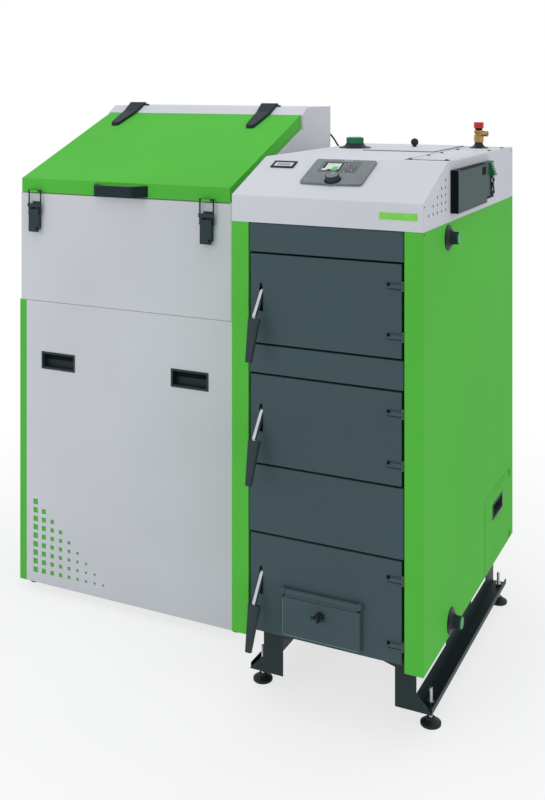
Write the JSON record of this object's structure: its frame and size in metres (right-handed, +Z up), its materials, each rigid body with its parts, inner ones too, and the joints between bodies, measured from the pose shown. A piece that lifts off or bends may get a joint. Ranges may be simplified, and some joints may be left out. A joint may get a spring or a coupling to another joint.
{
  "type": "pellet boiler",
  "caption": "Pellet boiler with doors, draught flap and sloped console, fed by an auger from a side hopper with a latched lid.",
  "frame": {"origin": "middle of the footprint, on the floor under the feet", "axes": "+X to the boiler's right, away from the hopper, +Y to the back, +Z up; the doors face -Y"},
  "size_m": [1.528, 1.1628, 1.6095],
  "materials": {
    "green_paint": "satin powder coat",
    "pale_paint": "satin powder coat",
    "slate_paint": "matt powder coat",
    "slate_plastic": "fine moulded grain",
    "pale_plastic": "smooth",
    "black_plastic": "fine moulded grain",
    "black_steel": "satin paint",
    "boiler_steel": "mill scale",
    "cast_iron": "as cast",
    "galvanised": "zinc coated",
    "zinc_steel": "bright zinc",
    "green_plastic": "smooth moulded",
    "red_plastic": "gloss moulded",
    "brass": "turned",
    "insulation_board": "pressed ceramic fibre board",
    "cord_rubber": "smooth sheath"
  },
  "bodies": {
    "boiler": {"side_panel_left": "green_paint", "side_panel_right": "green_paint", "rear_panel": "green_paint", "hatch_panel": "green_paint", "cover_hood": "pale_paint", "electronics_box": "slate_plastic", "control_panel": "pale_plastic", "status_display": "black_plastic", "front_bands": "slate_paint", "front_frame": "black_steel", "water_jacket": "boiler_steel", "burner_retort": "cast_iron", "ash_pan": "galvanised", "flue_collar": "black_steel", "pipe_rosettes": "black_plastic", "pipe_stubs": "black_steel", "green_plugs": "green_plastic", "safety_valve": "brass", "base_frame": "black_steel", "feet": "zinc_steel", "auger_tube": "galvanised", "gear_motor": "black_steel", "blower": "galvanised", "feeder_cable": "cord_rubber", "hopper_side_panels": "green_paint", "hopper_upper_walls": "pale_paint", "hopper_front_panel": "pale_paint", "recess_grips": "black_plastic", "hopper_top_cap": "pale_paint", "hopper_base": "galvanised", "bin_funnel": "galvanised", "lid_hinge_bases": "black_steel", "latch_bases": "zinc_steel"},
    "service_lid": {"service_lid": "pale_paint", "service_knob": "black_plastic"},
    "dial": {"control_knob": "black_plastic"},
    "rocker": {"rocker_switch": "black_plastic"},
    "test_cap": {"valve_cap": "red_plastic"},
    "auger": {"auger_screw": "boiler_steel"},
    "hopper_lid": {"hopper_lid": "green_paint", "lid_handle": "black_plastic", "lid_hinge_arms": "black_steel"},
    "flap": {"flap_plate": "slate_paint"},
    "flap_screw": {"flap_screw": "zinc_steel"},
    "latch_left": {"latch_lever_left": "slate_paint"},
    "bail_left": {"latch_bail_left": "black_steel"},
    "latch_right": {"latch_lever_right": "slate_paint"},
    "bail_right": {"latch_bail_right": "black_steel"},
    "door_bottom": {"door_bottom_skin": "slate_paint", "door_bottom_lining": "insulation_board"},
    "lever_bottom": {"door_bottom_lever": "zinc_steel", "door_bottom_grip": "black_plastic"},
    "door_mid": {"door_mid_skin": "slate_paint", "door_mid_lining": "insulation_board"},
    "lever_mid": {"door_mid_lever": "zinc_steel", "door_mid_grip": "black_plastic"},
    "door_top": {"door_top_skin": "slate_paint", "door_top_lining": "insulation_board"},
    "lever_top": {"door_top_lever": "zinc_steel", "door_top_grip": "black_plastic"}
  },
  "joints": [
    {"name": "service_lid_lift", "type": "slide", "parent": "boiler", "child": "service_lid", "axis": [0, 0, 1], "range_m": [0, 0.06]},
    {"name": "dial_turn", "type": "hinge", "parent": "boiler", "child": "dial", "pos_m": [0.448, -0.41595, 1.4162], "axis": [0, -0.3892, 0.9211], "continuous": true},
    {"name": "rocker_tilt", "type": "hinge", "parent": "boiler", "child": "rocker", "pos_m": [0.747, 0.00238, 1.4265], "axis": [0, 0, 1], "range_deg": [0, 12]},
    {"name": "test_cap_turn", "type": "hinge", "parent": "boiler", "child": "test_cap", "pos_m": [0.642, 0.35538, 1.535], "axis": [0, 0, 1], "range_deg": [0, 90]},
    {"name": "auger_turn", "type": "hinge", "parent": "boiler", "child": "auger", "pos_m": [-0.573, 0.17338, 0.615], "axis": [1, 0, 0], "continuous": true},
    {"name": "hopper_lid_open", "type": "hinge", "parent": "boiler", "child": "hopper_lid", "pos_m": [-0.663, 0.36038, 1.603], "axis": [-1, 0, 0], "range_deg": [0, 70]},
    {"name": "latch_left_open", "type": "hinge", "parent": "boiler", "child": "latch_left", "pos_m": [-0.693, -0.22162, 1.265], "axis": [-1, 0, 0], "range_deg": [0, 100]},
    {"name": "bail_left_swing", "type": "hinge", "parent": "latch_left", "child": "bail_left", "pos_m": [-0.693, -0.22362, 1.253], "axis": [-1, 0, 0], "range_deg": [-90, 0]},
    {"name": "latch_right_open", "type": "hinge", "parent": "boiler", "child": "latch_right", "pos_m": [-0.046, -0.22162, 1.265], "axis": [-1, 0, 0], "range_deg": [0, 100]},
    {"name": "bail_right_swing", "type": "hinge", "parent": "latch_right", "child": "bail_right", "pos_m": [-0.046, -0.22362, 1.253], "axis": [-1, 0, 0], "range_deg": [-90, 0]},
    {"name": "door_bottom_swing", "type": "hinge", "parent": "boiler", "child": "door_bottom", "pos_m": [0.6724, -0.50062, 0.344], "axis": [0, 0, 1], "range_deg": [0, 110]},
    {"name": "lever_bottom_lift", "type": "hinge", "parent": "door_bottom", "child": "lever_bottom", "pos_m": [0.274, -0.48162, 0.377], "axis": [-1, 0, 0], "range_deg": [0, 30]},
    {"name": "door_mid_swing", "type": "hinge", "parent": "boiler", "child": "door_mid", "pos_m": [0.6724, -0.50062, 0.782], "axis": [0, 0, 1], "range_deg": [0, 110]},
    {"name": "lever_mid_lift", "type": "hinge", "parent": "door_mid", "child": "lever_mid", "pos_m": [0.274, -0.48162, 0.812], "axis": [-1, 0, 0], "range_deg": [0, 30]},
    {"name": "door_top_swing", "type": "hinge", "parent": "boiler", "child": "door_top", "pos_m": [0.6724, -0.50062, 1.105], "axis": [0, 0, 1], "range_deg": [0, 110]},
    {"name": "lever_top_lift", "type": "hinge", "parent": "door_top", "child": "lever_top", "pos_m": [0.274, -0.48162, 1.135], "axis": [-1, 0, 0], "range_deg": [0, 30]},
    {"name": "flap_lift", "type": "hinge", "parent": "door_bottom", "child": "flap", "pos_m": [0.452, -0.50862, 0.341], "axis": [-1, 0, 0], "range_deg": [0, 60]},
    {"name": "flap_screw_turn", "type": "hinge", "parent": "flap", "child": "flap_screw", "pos_m": [0.452, -0.51362, 0.298], "axis": [0, 1, 0], "continuous": true}
  ],
  "couplings": [
    {"joint": "bail_left_swing", "follows": "latch_left_open", "ratio": -0.885},
    {"joint": "bail_right_swing", "follows": "latch_right_open", "ratio": -0.885}
  ]
}
